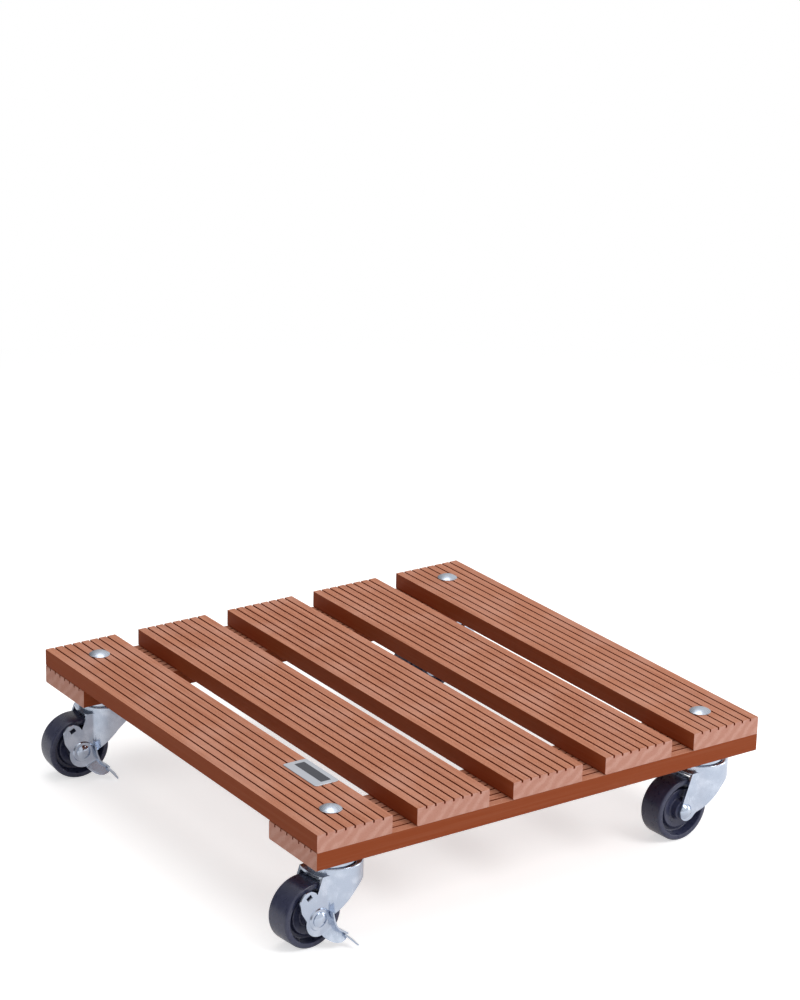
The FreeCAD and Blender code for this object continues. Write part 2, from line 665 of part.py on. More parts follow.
def make_wheel(corner):
    """The moulded wheel: tread, rim ring, dished web and hub, bored for its sleeve."""
    name = "wheel_" + corner
    body = doc.addObject("PartDesign::Body", name)
    sketch = body_sketch(body, name + "_profile", "XZ_Plane")
    bore, tread, half = "( sleeve_radius + sleeve_clearance )", "tread_round", "wheel_width / 2"
    upper = [("wheel_radius", "( wheel_width / 2 - tread_round )"),
             ("( wheel_radius - tread_round )", "( wheel_width / 2 )"),
             ("rim_inner_radius", "( wheel_width / 2 )"),
             ("( rim_inner_radius - 0.8 )", "groove_floor"),
             ("groove_inner_radius", "groove_floor"), ("groove_inner_radius", "web_face"),
             ("( hub_radius + 0.6 )", "web_dish"), ("hub_radius", "( hub_width / 2 )"),
             (bore, "( hub_width / 2 )")]
    lower = [(x, "-1 * " + y) for x, y in reversed(upper)]
    corners = upper + lower
    centre = "( wheel_radius - tread_round )"
    level = "( wheel_width / 2 - tread_round )"
    arcs = {0: (centre, level, "tread_round", 1),
            len(corners) - 2: (centre, "-1 * " + level, "tread_round", 1)}
    draw(sketch, corners, arcs)
    turned = body.newObject("PartDesign::Revolution", name + "_turned")
    turned.Profile = sketch
    turned.ReferenceAxis = (sketch, ["V_Axis"])
    turned.Angle = 360
    doc.recompute()
    finish(body, name, axle_frame(corner))


def make_sleeve(corner):
    """The steel sleeve clamped between the fork's legs, which the wheel runs on."""
    name = "wheel_sleeve_" + corner
    inner, ends = "axle_radius + axle_clearance", LEG_INSIDE
    sleeve = revolve(name, [(inner, "-1 * " + ends), ("sleeve_radius", "-1 * " + ends),
                            ("sleeve_radius", ends), (inner, ends)])
    finish(sleeve, name, axle_frame(corner))


def make_axle_rivet(corner):
    """The axle of an unbraked wheel: a rivet with a domed head outside and a formed tail."""
    name = "axle_rivet_" + corner
    head = dome(name + "_head", "rivet_head_radius", "rivet_head_height", "0.5", LEG_OUTSIDE,
                "axle_radius", "( 2 * %s )" % LEG_OUTSIDE)
    tail = cone(name + "_tail", "( rivet_tail_radius - 1.2 )", "rivet_tail_radius",
                "rivet_tail_height", z="-1 * %s - rivet_tail_height" % LEG_OUTSIDE)
    finish(fuse(name, head, tail), name, axle_frame(corner))


def make_axle_bolt(corner):
    """The axle of a braked wheel: a domed bolt through the lever, the cam and the fork."""
    name = "axle_bolt_" + corner
    shank = "( %s + %s + axle_nut_height + axle_bolt_tip )" % (BOSS_TOP, LEG_OUTSIDE)
    bolt = dome(name, "brake_head_radius", "brake_head_height", "0.5",
                "( %s + lever_clearance )" % BOSS_TOP, "bolt_radius", shank)
    finish(bolt, name, axle_frame(corner))
    nut_name = "axle_nut_" + corner
    nut = lock_nut(nut_name, "axle_nut_height", "-1 * " + LEG_OUTSIDE, True)
    finish(group(nut_name, [nut]), nut_name, axle_frame(corner))


def make_cam(corner):
    """The cam washer under the lever: its ramps pull the fork's legs onto the wheel's hub."""
    name = "brake_cam_" + corner
    disc = cylinder(name + "_disc", "cam_radius", "cam_thickness - 0.6", z=LEG_OUTSIDE)
    top = "( %s + cam_thickness - 0.6 )" % LEG_OUTSIDE
    ring = cut(name + "_ring", cylinder(name + "_ring_blank", "cam_radius - 0.2", "0.5", z=top),
               cylinder(name + "_ring_inside", "cam_radius - 2", "0.5", z=top),
               box(name + "_gap_x", "cam_radius * 2", "3", "1", "-1 * cam_radius", "-1.5", top))
    bore = cylinder(name + "_bore", "axle_radius + axle_clearance", "3 * cam_thickness",
                    z=LEG_OUTSIDE + " - cam_thickness")
    finish(cut(name, fuse(name + "_blank", disc, ring), bore), name, axle_frame(corner))


def make_lever(corner):
    """The pressed brake lever: lobe with a square hole, raised boss, bent tray and pedal."""
    name = "brake_lever_" + corner
    inside = LEVER_INSIDE
    plate = extrude(name + "_plate", lever_outline(name + "_outline"), "lever_thickness")
    place(plate, z=inside)
    boss = cone(name + "_boss", "boss_radius", "boss_top_radius",
                "lever_thickness + boss_height", z=inside)
    pressing = fuse(name + "_pressing", plate, boss, lever_tray(name), lever_flange(name))

    hollow = cone(name + "_boss_hollow", "( boss_radius - 1 )", "( boss_top_radius - 0.7 )",
                  "boss_height", z=inside)
    bore = cylinder(name + "_bore", "bolt_radius + lever_clearance", "3 * lever_gap + 10",
                    z=inside + " - lever_gap")
    slot = box(name + "_slot", "slot_length", "slot_width", "3 * lever_thickness")
    slot.setExpression("Placement", named(
        frame("slot_x", "slot_y", inside + " - lever_thickness", "slot_turn") + " * "
        + frame("-1 * slot_length / 2", "-1 * slot_width / 2")))
    lever = cut(name, pressing, hollow, bore, slot)
    turned = frame(turn="lever_turn_" + corner)
    finish(lever, name, axle_frame(corner) + " * " + turned)


def around(centre, radius, angle):
    """The point of a circle at an angle in degrees, as two expressions."""
    x, y = centre
    return "%s + %s * cos( %s )" % (x, radius, angle), "%s + %s * sin( %s )" % (y, radius, angle)


def lever_outline(name):
    """The flat plate: round lobe, waist, round body and the edge along the flange."""
    lobe, body = ("lobe_x", "lobe_y"), ("lever_body_x", "lever_body_y")
    corners = [around(lobe, "lobe_radius", "42"), around(lobe, "lobe_radius", "190"),
               ("lobe_x - 6.8", "lobe_y - 7"), around(body, "lever_body_radius", "166"),
               around(body, "lever_body_radius", "280"),
               ("tray_fold_x + 10.6", "tray_fold_y + 10.6 * tan( tray_fold_turn )"),
               ("10.6", "-2.5"), ("9.9", "2"), ("7.6", "6.9")]
    arcs = {0: (*lobe, "lobe_radius", 1), 3: (*body, "lever_body_radius", 1)}
    return flat_sketch(name, corners, arcs)


def lever_tray(name):
    """The part of the lever below the boss, bent outward towards the pedal."""
    outline = flat_sketch(name + "_tray_outline", [
        ("2.2", "-12.2"), ("3.4", "-14.4"), ("5.8", "-16.8"), ("8.8", "-18.8"),
        ("12", "-20"), ("15.4", "-20.2"), ("18.6", "-19"), ("21", "-16.8"),
        ("19.2", "-13.6"), ("14.8", "-10.6"), ("13.4", "-7.6")])
    prism = extrude(name + "_tray_prism", outline, "3 * pedal_reach")
    place(prism, z=LEVER_INSIDE + " - pedal_reach")
    slab = box(name + "_tray_slab", "60", "40", "lever_thickness")
    slab.setExpression("Placement", named(
        frame("tray_fold_x", "tray_fold_y", LEVER_INSIDE, "tray_fold_turn") + " * "
        + frame("-20", turn="tray_slope", axis="-1; 0; 0") + " * " + frame(y="-40 + 0.6")))
    return common(name + "_tray", prism, slab)


def lever_flange(name):
    """The flange bent up along the lever's edge, which widens into the foot pedal."""
    out = LEVER_INSIDE
    wall = extrude(name + "_wall", flat_sketch(name + "_wall_outline", [
        ("8", "4.8"), ("9.4", "-2.4"), ("11.3", "-7.4"), ("13.9", "-10.6"),
        ("pedal_x - 0.9", "pedal_y - 0.9"), ("pedal_x", "pedal_y + 0.2"), ("14.9", "-9.9"),
        ("12.4", "-7"), ("10.6", "-2.1"), ("9.1", "4.4")]), "2 * pedal_reach")
    place(wall, z=out)
    flap = box(name + "_flap", "pedal_length", "lever_thickness", "2 * pedal_reach")
    flap.setExpression("Placement", named(
        frame("pedal_x - 1", "pedal_y - 0.4", out, "-1 * pedal_turn") + " * "
        + frame(turn="pedal_tilt", axis="1; 0; 0") + " * " + frame(y="-0.6")))
    wide = out + " + pedal_reach"
    reach = flat_sketch(name + "_reach", [
        ("7", out), ("13.5", out), ("16.5", out + " + 1.6"), ("20", out + " + 4.2"),
        ("28", out + " + 10"), ("28", wide), ("23.4", wide), ("20.6", out + " + 12.4"),
        ("18", out + " + 9.2"), ("14", out + " + flange_width + 1"),
        ("7", out + " + flange_width")], upright=True)
    span = extrude(name + "_span", reach, "120", both_ways=True)
    return common(name + "_flange", fuse(name + "_bent_edge", wall, flap), span)


# ---- the whole caddy --------------------------------------------------------------------

for slat in range(SLAT_COUNT):
    make_slat(slat)
for bar_name, bar_side in (("front", -1), ("rear", 1)):
    make_crossbar("crossbar_" + bar_name, bar_side)
    make_screws("deck_screws_" + bar_name, bar_side)
make_name_plate()
for corner_name in CASTERS:
    make_bolt(corner_name)
    make_cap(corner_name)
    make_balls(corner_name)
    make_fork(corner_name)
    make_thrust_washer(corner_name)
    make_caster_nut(corner_name)
    make_wheel(corner_name)
    make_sleeve(corner_name)
    if corner_name in BRAKED:
        make_axle_bolt(corner_name)
        make_cam(corner_name)
        make_lever(corner_name)
    else:
        make_axle_rivet(corner_name)
doc.recompute()

for item in doc.Objects:
    if "Invalid" in item.State or "Error" in item.State:
        raise RuntimeError("%s did not rebuild: %s" % (item.Label, item.State))
os.makedirs("parts", exist_ok=True)
for item in SUBPARTS:
    if item.Shape.isNull() or not item.Shape.isValid():
        raise RuntimeError("%s has no valid shape" % item.Label)
    item.Shape.exportStep("parts/%s.step" % item.Label)
    solids = len(item.Shape.Solids)
    print("%-28s %3d solid(s) %10.1f mm3" % (item.Label, solids, item.Shape.Volume))
print(len(SUBPARTS), "sub-parts")
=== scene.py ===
"""Looks for the plant pot caddy: finishes, fine detail, studio, lamps and camera.

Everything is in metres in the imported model's own frame: +Z up, the origin on the floor under
the middle of the deck, the slats along Y and the braked casters at -X.
"""

import json
import logging
import math
from dataclasses import dataclass
from enum import Enum
from typing import Iterable, Sequence

import bmesh
import bpy
from mathutils import Matrix, Vector


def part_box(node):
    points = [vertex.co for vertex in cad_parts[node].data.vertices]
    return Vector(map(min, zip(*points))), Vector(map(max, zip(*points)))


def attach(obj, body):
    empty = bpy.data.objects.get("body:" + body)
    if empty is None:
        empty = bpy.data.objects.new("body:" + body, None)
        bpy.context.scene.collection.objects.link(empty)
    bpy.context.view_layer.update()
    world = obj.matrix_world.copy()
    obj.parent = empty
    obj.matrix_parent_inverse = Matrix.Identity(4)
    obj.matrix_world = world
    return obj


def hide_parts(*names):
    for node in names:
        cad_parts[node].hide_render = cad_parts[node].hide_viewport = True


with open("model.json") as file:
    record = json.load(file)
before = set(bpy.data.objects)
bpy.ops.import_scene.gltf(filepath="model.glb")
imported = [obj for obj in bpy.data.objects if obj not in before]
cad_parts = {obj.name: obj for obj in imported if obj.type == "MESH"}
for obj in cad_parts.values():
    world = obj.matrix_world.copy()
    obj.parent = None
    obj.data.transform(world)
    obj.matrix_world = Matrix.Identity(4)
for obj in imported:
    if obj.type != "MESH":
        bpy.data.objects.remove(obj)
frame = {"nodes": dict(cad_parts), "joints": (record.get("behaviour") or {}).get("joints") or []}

logging.basicConfig(level=logging.INFO, format="%(levelname)s %(message)s")
LOG = logging.getLogger("caddy")

MM = 0.001
Colour = tuple[float, float, float]
Limits = tuple[float, float]
Place = tuple[float, float, float]
Point = tuple[float, float]


def srgb(red: int, green: int, blue: int) -> Colour:
    """A linear colour from its three display values.

    Args:
        red: Display value from 0 to 255.
        green: Display value from 0 to 255.
        blue: Display value from 0 to 255.

    Returns:
        The same colour in linear light.
    """

    def linear(value: int) -> float:
        """One channel in linear light."""
        share = value / 255
        return share / 12.92 if share <= 0.04045 else ((share + 0.055) / 1.055) ** 2.4

    return (linear(red), linear(green), linear(blue))


# ---- node trees -----------------------------------------------------------------------------


class Nodes:
    """Adds nodes to a tree and links them."""

    def __init__(self, tree: bpy.types.NodeTree) -> None:
        """Starts on a material's or a world's tree."""
        self.tree = tree

    def add(self, kind: str, inputs: dict[int | str, object] | None = None,
            **settings: object) -> bpy.types.Node:
        """Makes a node.

        Args:
            kind: The node's type, without the "ShaderNode" in front.
            inputs: A value or a socket for each input that is not left alone, by name or number.
            settings: The node's own settings.

        Returns:
            The new node.
        """
        node = self.tree.nodes.new("ShaderNode" + kind)
        for key, setting in settings.items():
            setattr(node, key, setting)
        for key, value in (inputs or {}).items():
            self.feed(node.inputs[key], value)
        return node

    def feed(self, socket: bpy.types.NodeSocket, value: object) -> None:
        """Links a socket to another one, or sets it to a plain value."""
        if isinstance(value, bpy.types.NodeSocket):
            self.tree.links.new(value, socket)
        elif isinstance(value, tuple) and len(value) == 3 and socket.type == "RGBA":
            socket.default_value = (*value, 1.0)
        else:
            socket.default_value = value

    def math(self, operation: str, first: object, second: object = 0.0) -> bpy.types.NodeSocket:
        """The result of one operation on one or two values."""
        return self.add("Math", {0: first, 1: second}, operation=operation).outputs[0]

    def plus(self, first: object, second: object) -> bpy.types.NodeSocket:
        """The sum of two values."""
        return self.math("ADD", first, second)

    def minus(self, first: object, second: object) -> bpy.types.NodeSocket:
        """The first value less the second."""
        return self.math("SUBTRACT", first, second)

    def times(self, first: object, second: object) -> bpy.types.NodeSocket:
        """The product of two values."""
        return self.math("MULTIPLY", first, second)

    def most(self, first: object, second: object) -> bpy.types.NodeSocket:
        """The larger of two values."""
        return self.math("MAXIMUM", first, second)

    def step(self, value: object, low: float, high: float,
             bottom: object = 0.0) -> bpy.types.NodeSocket:
        """A smooth climb to 1 at high, from 0 or another bottom at low."""
        limits = {"Value": value, "From Min": low, "From Max": high, "To Min": bottom}
        return self.add("MapRange", limits, interpolation_type="SMOOTHSTEP").outputs["Result"]

    def near(self, value: object, edge: float, fade: Limits) -> bpy.types.NodeSocket:
        """A smooth climb from 0 to 1 on the way to an edge, between two distances from it."""
        return self.step(value, edge - fade[0], edge - fade[1])

    def spread(self, value: object, low: float, high: float) -> bpy.types.NodeSocket:
        """A value from 0 to 1, spread evenly between two others."""
        limits = {"Value": value, "To Min": low, "To Max": high}
        return self.add("MapRange", limits).outputs["Result"]

    def split(self, vector: bpy.types.NodeSocket) -> Sequence[bpy.types.NodeSocket]:
        """The three parts of a vector."""
        return self.add("SeparateXYZ", {0: vector}).outputs


class NodeSheet(Nodes):
    """Writes the nodes of one material around its main shader."""

    BAND_DETAIL = 2.0
    BAND_DETAIL_SCALE = 1.5

    def __init__(self, name: str, roughness: float, metallic: float = 0.0) -> None:
        """Starts a material.

        Args:
            name: The material's name.
            roughness: Roughness of the whole surface.
            metallic: 1 for bare metal, 0 for everything else.
        """
        self.material = bpy.data.materials.new(name)
        self.material.use_nodes = True
        super().__init__(self.material.node_tree)
        self.shader = self.tree.nodes["Principled BSDF"]
        self.shader.inputs["Roughness"].default_value = roughness
        self.shader.inputs["Metallic"].default_value = metallic
        coordinates = self.add("TexCoord")
        self.place = coordinates.outputs["Object"]
        self.normal = coordinates.outputs["Normal"]

    def mapped(self, **inputs: Place) -> bpy.types.NodeSocket:
        """The object's own coordinates with a Location, a Rotation or a Scale."""
        return self.add("Mapping", {"Vector": self.place, **inputs}).outputs[0]

    def noise(self, scale: float, detail: float = 3.0, vector: object = None,
              rough: float = 0.55) -> bpy.types.NodeSocket:
        """Fractal noise from 0 to 1, in the object's own coordinates or in a mapped vector."""
        return self.add("TexNoise", {"Vector": vector or self.place, "Scale": scale,
                                     "Detail": detail, "Roughness": rough}).outputs[0]

    def waves(self, vector: object, scale: float, wander: float) -> bpy.types.NodeSocket:
        """Bands along the X axis of a vector, bent by some noise."""
        return self.add("TexWave", {"Vector": vector, "Scale": scale, "Distortion": wander,
                                    "Detail": self.BAND_DETAIL,
                                    "Detail Scale": self.BAND_DETAIL_SCALE}).outputs["Fac"]

    def mix(self, share: object, first: object, second: object) -> bpy.types.NodeSocket:
        """Two colours mixed by a share of the second."""
        return self.add("Mix", {"Factor": share, 6: first, 7: second},
                        data_type="RGBA").outputs[2]

    def tint(self, below: object, above: object, pattern: object,
             share: float) -> bpy.types.NodeSocket:
        """A colour with at most a share of another one over it, where a pattern has it."""
        return self.mix(self.times(pattern, share), below, above)

    def colour(self, value: object) -> None:
        """Sets the surface's colour."""
        self.feed(self.shader.inputs["Base Color"], value)

    def specular(self, level: float) -> None:
        """Sets how strongly the surface mirrors when it is not metal."""
        self.shader.inputs["Specular IOR Level"].default_value = level

    def roughness(self, value: object, low: float, high: float) -> None:
        """Spreads the roughness between two limits by a pattern."""
        self.feed(self.shader.inputs["Roughness"], self.spread(value, low, high))

    def bump(self, height: object, depth: float, strength: float) -> None:
        """Raises the surface by a pattern, depth metres high."""
        node = self.add("Bump", {"Strength": strength, "Distance": depth, "Height": height})
        self.feed(self.shader.inputs["Normal"], node.outputs["Normal"])


# ---- finishes -------------------------------------------------------------------------------


class Run(Enum):
    """The axis that a board runs along."""

    ALONG_X = "x"
    ALONG_Y = "y"

    @property
    def axis(self) -> int:
        """The number of that axis."""
        return 0 if self is Run.ALONG_X else 1


@dataclass(frozen=True)
class BoardFinish:
    """Red-brown wood-plastic decking: brushed ridges, grooves darkened with painted shade,
    smooth sides, sawn ends.
    """

    run: Run
    low: Vector
    high: Vector
    seed: float
    ridge: Colour = srgb(192, 130, 103)
    ridge_red: Colour = srgb(170, 108, 82)
    # the grooves' unbrushed floor, made darker than the sides by painted shade
    groove: Colour = srgb(124, 50, 20)
    side: Colour = srgb(144, 67, 32)
    sawn: Colour = srgb(197, 142, 125)
    sawn_light: Colour = srgb(216, 171, 156)
    speck: Colour = srgb(226, 186, 168)
    base_rough: float = 0.62
    rough: Limits = (0.5, 0.74)
    mirrored: float = 0.16
    seed_way: Place = (1.0, 0.7, 0.3)
    streak_along: float = 9.0
    streak_across: float = 420.0
    streak_weight: float = 0.75
    streak_fade: Limits = (0.4, 0.7)
    streak_share: float = 0.16
    grain_fade: Limits = (0.5, 0.86)
    fleck_scale: float = 950.0
    fleck_weight: float = 0.6
    fleck_fade: Limits = (0.5, 0.7)
    fleck_share: float = 0.35
    cloud_scale: float = 22.0
    cloud_fade: Limits = (0.42, 0.72)
    cloud_share: float = 0.22
    speck_scale: float = 900.0
    speck_fade: Limits = (0.735, 0.76)
    speck_share: float = 0.6
    band_scale: float = 38.0
    band_wander: float = 4.0
    band_slant: float = -48.0
    slant_change: float = 6.0
    slant_seed: float = 3.0
    band_shift: float = 0.013
    band_weight: float = 0.45
    grit_scale: float = 150.0
    grit_weight: float = 0.8
    mark_fade: Limits = (0.45, 0.95)
    mark_share: float = 0.5
    up_fade: Limits = (0.6, 0.8)
    end_fade: Limits = (0.75, 0.9)
    top_fade: Limits = (0.5 * MM, 0.3 * MM)
    # where the grooves' painted shade lies, and how it fades at their floor, mouths, long sides
    # and open ends
    groove_depth: float = 2.0 * MM
    groove_floor_fade: Limits = (0.2 * MM, 0.1 * MM)
    groove_mouth_fade: Limits = (0.5 * MM, 0.15 * MM)
    long_side_fade: Limits = (0.9 * MM, 0.6 * MM)
    open_end_fade: Limits = (3.0 * MM, 0.0)
    relief_grain: float = 0.7
    relief_marks: float = 0.6
    relief_depth: float = 0.12 * MM
    relief_strength: float = 0.55

    def material(self, name: str) -> bpy.types.Material:
        """The finish of one board, whose streaks and saw marks are its own.

        Args:
            name: The material's name.

        Returns:
            The new material.
        """
        sheet = NodeSheet(name, self.base_rough)
        spot = sheet.split(sheet.place)
        facing = sheet.split(sheet.normal)
        streak = self.streaks(sheet)
        fleck = sheet.noise(self.fleck_scale)
        grain = sheet.plus(sheet.times(streak, self.streak_weight),
                           sheet.times(fleck, self.fleck_weight))
        marks = self.saw_marks(sheet)

        smooth = sheet.tint(self.side, self.ridge_red, sheet.step(streak, *self.streak_fade),
                            self.streak_share)
        top = sheet.near(spot[2], self.high.z, self.top_fade)
        up = sheet.step(facing[2], *self.up_fade)
        shown = sheet.mix(sheet.times(top, up), smooth, self.brushed(sheet, grain))
        # painted shade: the grooves take their darker colour, which fades out towards their open
        # ends
        shown = sheet.mix(self.groove_shade(sheet, spot), shown, self.groove)
        cut_end = sheet.tint(self.sawn, self.sawn_light, sheet.step(marks, *self.mark_fade),
                             self.mark_share)
        cut_end = sheet.tint(cut_end, self.ridge_red, sheet.step(fleck, *self.fleck_fade),
                             self.fleck_share)
        end = sheet.step(sheet.math("ABSOLUTE", facing[self.run.axis]), *self.end_fade)
        sheet.colour(sheet.mix(end, shown, cut_end))

        relief = sheet.plus(sheet.times(grain, self.relief_grain),
                            sheet.times(marks, sheet.times(end, self.relief_marks)))
        sheet.bump(relief, self.relief_depth, self.relief_strength)
        sheet.roughness(grain, *self.rough)
        sheet.specular(self.mirrored)
        return sheet.material

    def streaks(self, sheet: NodeSheet) -> bpy.types.NodeSocket:
        """Long thin streaks along the board."""
        scale = [self.streak_across] * 3
        scale[self.run.axis] = self.streak_along
        start = tuple(self.seed * share for share in self.seed_way)
        moved = sheet.mapped(Location=start, Scale=tuple(scale))
        return sheet.noise(1.0, vector=moved, rough=0.6)

    def saw_marks(self, sheet: NodeSheet) -> bpy.types.NodeSocket:
        """Slanting bands and grit that the saw leaves on an end."""
        change = self.slant_change * math.sin(self.seed * self.slant_seed)
        slant = math.radians(self.band_slant + change)
        turn = (slant, 0, math.pi / 2) if self.run is Run.ALONG_X else (0, slant, 0)
        turned = sheet.mapped(Rotation=turn, Location=(self.seed * self.band_shift, 0, 0))
        bands = sheet.waves(turned, self.band_scale, self.band_wander)
        grit = sheet.noise(self.grit_scale, detail=4.0)
        return sheet.plus(sheet.times(bands, self.band_weight),
                          sheet.times(grit, self.grit_weight))

    def brushed(self, sheet: NodeSheet, grain: bpy.types.NodeSocket) -> bpy.types.NodeSocket:
        """The colour of the brushed ridges, with paler clouds and specks."""
        cloud = sheet.step(sheet.noise(self.cloud_scale), *self.cloud_fade)
        specks = sheet.step(sheet.noise(self.speck_scale, detail=1.0), *self.speck_fade)
        brushed = sheet.mix(sheet.step(grain, *self.grain_fade), self.ridge_red, self.ridge)
        brushed = sheet.tint(brushed, self.sawn_light, cloud, self.cloud_share)
        return sheet.tint(brushed, self.speck, specks, self.speck_share)

    def groove_shade(self, sheet: NodeSheet,
                  spot: Sequence[bpy.types.NodeSocket]) -> bpy.types.NodeSocket:
        """Share of painted shade: 1 in the grooves, fading at their mouths and towards their
        open ends, where light gets in, and 0 elsewhere.
        """
        floor = sheet.near(spot[2], self.high.z - self.groove_depth, self.groove_floor_fade)
        mouth = sheet.near(spot[2], self.high.z, self.groove_mouth_fade)
        sunk = sheet.times(floor, sheet.minus(1.0, mouth))
        along = self.run.axis
        across = 1 - along
        inboard = self.within(sheet, spot, across, self.long_side_fade)
        # the painted shade fades towards the grooves' open ends, where light gets in
        inside = self.within(sheet, spot, along, self.open_end_fade)
        return sheet.times(sheet.times(sunk, inboard), inside)

    def within(self, sheet: NodeSheet, spot: Sequence[bpy.types.NodeSocket], axis: int,
               fade: Limits) -> bpy.types.NodeSocket:
        """1 inside the board's box along one axis, fading to 0 near its two sides.

        Args:
            sheet: The board's material.
            spot: The three coordinates of the shaded spot.
            axis: The axis that is looked along.
            fade: How far from the side the fade starts and ends, in metres.

        Returns:
            The share.
        """
        middle = (self.low[axis] + self.high[axis]) / 2
        half = (self.high[axis] - self.low[axis]) / 2
        away = sheet.math("ABSOLUTE", sheet.minus(spot[axis], middle))
        return sheet.minus(1.0, sheet.near(away, half, fade))


@dataclass(frozen=True)
class ZincFinish:
    """Bright zinc plating over steel, with a faint bloom, fine grain and handling marks."""

    name: str
    light: Colour = srgb(206, 214, 228)
    dull: Colour = srgb(180, 190, 207)
    smooth: float = 0.17
    rough: float = 0.3
    bloom_scale: float = 70.0
    bloom_weight: float = 0.8
    rub_scale: Place = (900.0, 160.0, 160.0)
    rub_fade: Limits = (0.6, 0.74)
    rub_weight: float = 0.12
    light_fade: Limits = (0.34, 0.6)
    grain_scale: float = 2400.0
    bloom_relief: float = 3.0
    mark_depth: float = 0.02 * MM
    mark_strength: float = 0.3

    def material(self) -> bpy.types.Material:
        """The new material."""
        sheet = NodeSheet(self.name, self.rough, 1.0)
        bloom = sheet.noise(self.bloom_scale, detail=4.0)
        grains = sheet.noise(self.grain_scale, detail=2.0)
        brushes = sheet.noise(1.0, detail=2.0, vector=sheet.mapped(Scale=self.rub_scale))
        rubs = sheet.step(brushes, *self.rub_fade)
        blend = sheet.plus(sheet.times(bloom, self.bloom_weight),
                           sheet.times(rubs, self.rub_weight))
        sheet.colour(sheet.mix(sheet.step(blend, *self.light_fade), self.dull, self.light))
        sheet.roughness(blend, self.smooth, self.rough)
        relief = sheet.plus(grains, sheet.times(bloom, self.bloom_relief))
        sheet.bump(relief, self.mark_depth, self.mark_strength)
        return sheet.material


@dataclass(frozen=True)
class BoltHeadFinish:
    """Zinc-plated carriage bolt: bright, with faint turned rings round the head."""

    name: str
    inset: float
    light: Colour = srgb(196, 203, 214)
    dull: Colour = srgb(146, 154, 168)
    base_rough: float = 0.24
    rough: Limits = (0.26, 0.4)
    ring_scale: float = 330.0
    ring_wander: float = 1.2
    ring_weight: float = 0.5
    bloom_scale: float = 420.0
    bloom_weight: float = 0.5
    light_fade: Limits = (0.2, 0.8)
    ring_depth: float = 0.05 * MM
    ring_strength: float = 0.35

    def material(self) -> bpy.types.Material:
        """The new material, whose rings are centred on each of the four bolts."""
        sheet = NodeSheet(self.name, self.base_rough, 1.0)
        spot = sheet.split(sheet.place)
        from_axis = [sheet.minus(sheet.math("ABSOLUTE", spot[k]), self.inset) for k in (0, 1)]
        squares = [sheet.times(value, value) for value in from_axis]
        radius = sheet.math("SQRT", sheet.plus(*squares))
        outward = sheet.add("CombineXYZ", {0: radius}).outputs[0]
        rings = sheet.waves(outward, self.ring_scale, self.ring_wander)
        bloom = sheet.noise(self.bloom_scale)
        blend = sheet.plus(sheet.times(rings, self.ring_weight),
                           sheet.times(bloom, self.bloom_weight))
        sheet.colour(sheet.mix(sheet.step(blend, *self.light_fade), self.dull, self.light))
        sheet.roughness(bloom, *self.rough)
        sheet.bump(rings, self.ring_depth, self.ring_strength)
        return sheet.material


@dataclass(frozen=True)
class WheelFinish:
    """Black moulded polypropylene: satin, a little blue, with scuffs on the tread."""

    name: str
    black: Colour = srgb(54, 57, 82)
    worn: Colour = srgb(80, 82, 108)
    base_rough: float = 0.42
    rough: Limits = (0.2, 0.38)
    scuff_scale: float = 240.0
    scuff_fade: Limits = (0.52, 0.75)
    scuff_share: float = 0.55
    skin_scale: float = 1800.0
    skin_depth: float = 0.03 * MM
    skin_strength: float = 0.35

    def material(self) -> bpy.types.Material:
        """The new material."""
        sheet = NodeSheet(self.name, self.base_rough)
        scuff = sheet.noise(self.scuff_scale, detail=4.0)
        skin = sheet.noise(self.skin_scale, detail=2.0)
        sheet.colour(sheet.tint(self.black, self.worn, sheet.step(scuff, *self.scuff_fade),
                                self.scuff_share))
        sheet.roughness(scuff, *self.rough)
        sheet.bump(skin, self.skin_depth, self.skin_strength)
        return sheet.material


@dataclass(frozen=True)
class PlateFinish:
    """Satin aluminium, brushed along its length."""

    name: str
    metal: Colour = srgb(204, 207, 214)
    shade: Colour = srgb(178, 182, 190)
    base_rough: float = 0.36
    rough: Limits = (0.3, 0.46)
    line_scale: Place = (4200.0, 60.0, 900.0)
    line_depth: float = 0.02 * MM
    line_strength: float = 0.4

    def material(self) -> bpy.types.Material:
        """The new material."""
        sheet = NodeSheet(self.name, self.base_rough, 1.0)
        lines = sheet.noise(1.0, vector=sheet.mapped(Scale=self.line_scale), rough=0.7)
        sheet.colour(sheet.mix(lines, self.shade, self.metal))
        sheet.roughness(lines, *self.rough)
        sheet.bump(lines, self.line_depth, self.line_strength)
        return sheet.material


@dataclass(frozen=True)
class PrintedFieldFinish:
    """The plate's blank dark field: matt enamel with a fine tooth."""

    name: str
    dark: Colour = srgb(38, 40, 48)
    grey: Colour = srgb(56, 58, 68)
    rough: float = 0.5
    tooth_scale: float = 2200.0
    tooth_fade: Limits = (0.35, 0.7)
    tooth_depth: float = 0.015 * MM
    tooth_strength: float = 0.4

    def material(self) -> bpy.types.Material:
        """The new material."""
        sheet = NodeSheet(self.name, self.rough)
        tooth = sheet.noise(self.tooth_scale)
        sheet.colour(sheet.mix(sheet.step(tooth, *self.tooth_fade), self.dark, self.grey))
        sheet.bump(tooth, self.tooth_depth, self.tooth_strength)
        return sheet.material


